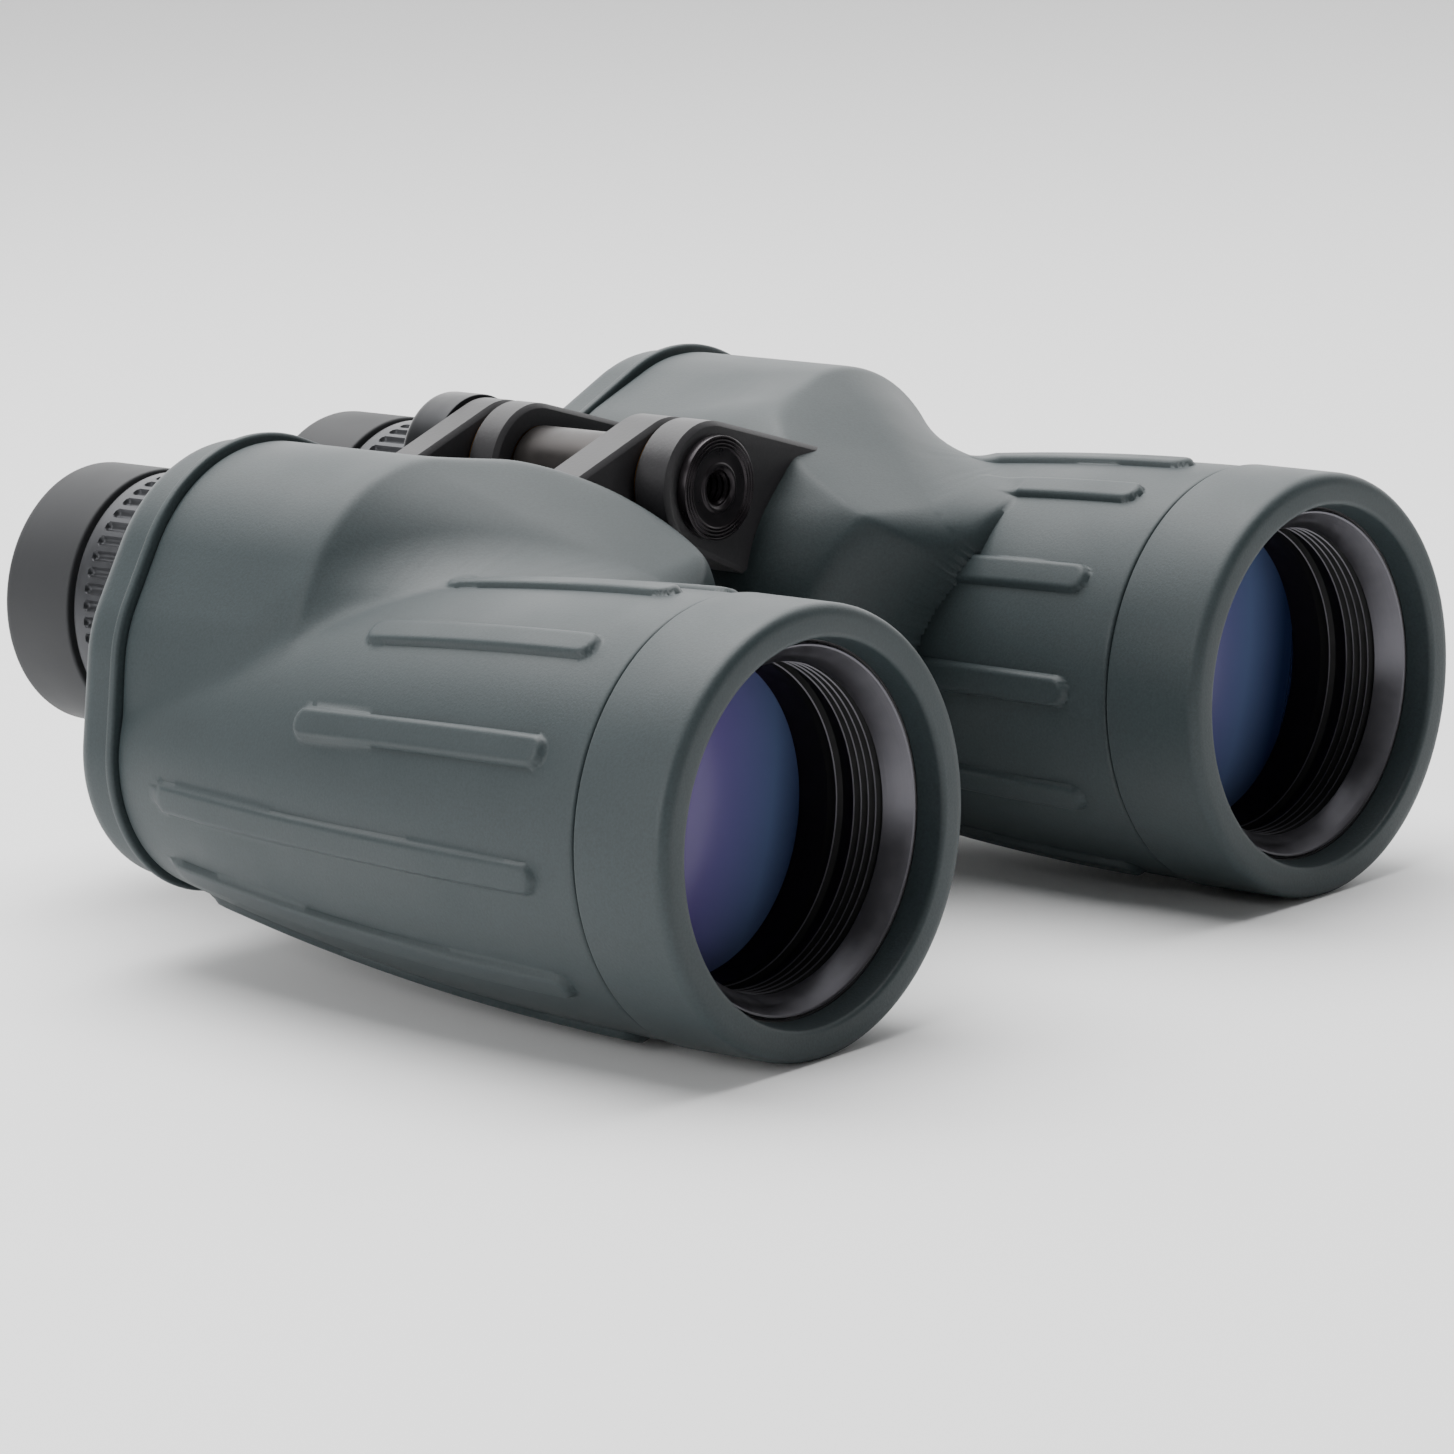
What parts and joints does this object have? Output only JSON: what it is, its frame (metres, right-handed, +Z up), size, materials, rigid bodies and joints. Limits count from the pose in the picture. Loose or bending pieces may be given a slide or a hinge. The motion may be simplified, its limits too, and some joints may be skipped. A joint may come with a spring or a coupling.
{
  "type": "binoculars",
  "caption": "Rubber-armoured prism binoculars with a folding centre hinge, separately focusing eyepieces and a tripod socket.",
  "frame": {"origin": "bottom centre of the bounding box, under the hinge, halfway along the length", "axes": "+Y along the optical axes towards the eyecups, +Z up towards the hinge, +X towards the left half as seen by the user"},
  "size_m": [0.2022, 0.1938, 0.0856],
  "materials": {
    "hammered_grey_casting": "painted, fine matt texture",
    "green_grey_rubber": "moulded, fine matt grain",
    "cover_rubber_coat": "rubber coated, fine matt grain",
    "cup_rubber": "soft matt",
    "black_anodised": "matt black anodised",
    "coated_glass": "polished, anti-reflection coated",
    "clear_glass": "polished",
    "seal_rubber": "smooth",
    "spring_steel": "rolled strip",
    "bright_steel": "turned",
    "black_steel": "black oxide",
    "bronze": "turned bearing bronze",
    "tube_alloy": "turned, satin grey anodised",
    "cap_alloy": "turned, satin black"
  },
  "bodies": {
    "right_half": {"right_body": "hammered_grey_casting", "right_objective_tube": "hammered_grey_casting", "right_armour": "green_grey_rubber", "right_front_bumper": "green_grey_rubber", "right_objective_cell": "black_anodised", "right_objective_crown_lens": "coated_glass", "right_objective_flint_lens": "clear_glass", "right_objective_ring": "black_anodised", "right_objective_seal": "seal_rubber", "right_front_prism": "clear_glass", "right_rear_prism": "clear_glass", "right_prism_plate": "black_anodised", "right_prism_clips": "spring_steel", "right_prism_clip_screws": "bright_steel", "right_rear_cover": "cover_rubber_coat", "right_cover_gasket": "seal_rubber", "right_cover_screws": "black_steel", "right_eyepiece_guide": "black_anodised", "hinge_shaft": "bright_steel", "hinge_tube": "tube_alloy", "tripod_socket": "black_steel", "tension_nut": "bright_steel", "rear_hinge_cap": "cap_alloy"},
    "left_half": {"left_body": "hammered_grey_casting", "left_objective_tube": "hammered_grey_casting", "left_armour": "green_grey_rubber", "left_front_bumper": "green_grey_rubber", "left_objective_cell": "black_anodised", "left_objective_crown_lens": "coated_glass", "left_objective_flint_lens": "clear_glass", "left_objective_ring": "black_anodised", "left_objective_seal": "seal_rubber", "left_front_prism": "clear_glass", "left_rear_prism": "clear_glass", "left_prism_plate": "black_anodised", "left_prism_clips": "spring_steel", "left_prism_clip_screws": "bright_steel", "left_rear_cover": "cover_rubber_coat", "left_cover_gasket": "seal_rubber", "left_cover_screws": "black_steel", "left_eyepiece_guide": "black_anodised", "hinge_bushes": "bronze"},
    "right_eyepiece": {"right_eyepiece_sleeve": "black_anodised", "right_field_lens": "clear_glass", "right_field_stop": "black_anodised", "right_inner_eye_lens": "clear_glass", "right_outer_eye_lens": "coated_glass", "right_eye_lens_ring": "black_anodised", "right_ring_retainer": "spring_steel", "right_eyecup": "cup_rubber"},
    "left_eyepiece": {"left_eyepiece_sleeve": "black_anodised", "left_field_lens": "clear_glass", "left_field_stop": "black_anodised", "left_inner_eye_lens": "clear_glass", "left_outer_eye_lens": "coated_glass", "left_eye_lens_ring": "black_anodised", "left_ring_retainer": "spring_steel", "left_eyecup": "cup_rubber"},
    "right_focus_dial": {"right_focus_ring": "black_anodised"},
    "left_focus_dial": {"left_focus_ring": "black_anodised"}
  },
  "joints": [
    {"name": "centre_hinge", "type": "hinge", "parent": "right_half", "child": "left_half", "pos_m": [0, 0, 0.0731], "axis": [0, -1, 0], "range_deg": [-10, 47]},
    {"name": "right_eyepiece_slide", "type": "slide", "parent": "right_half", "child": "right_eyepiece", "axis": [0, 1, 0], "range_m": [-0.0037, 0.0037]},
    {"name": "right_focus_turn", "type": "hinge", "parent": "right_eyepiece", "child": "right_focus_dial", "pos_m": [-0.0302, 0.06315, 0.0498], "axis": [0, 1, 0], "range_deg": [-150, 150]},
    {"name": "left_eyepiece_slide", "type": "slide", "parent": "left_half", "child": "left_eyepiece", "axis": [0, 1, 0], "range_m": [-0.0037, 0.0037]},
    {"name": "left_focus_turn", "type": "hinge", "parent": "left_eyepiece", "child": "left_focus_dial", "pos_m": [0.0302, 0.06315, 0.0498], "axis": [0, 1, 0], "range_deg": [-150, 150]}
  ],
  "couplings": [
    {"joint": "right_eyepiece_slide", "follows": "right_focus_turn", "m_per_rad": 0.001413},
    {"joint": "left_eyepiece_slide", "follows": "left_focus_turn", "m_per_rad": 0.001413}
  ]
}
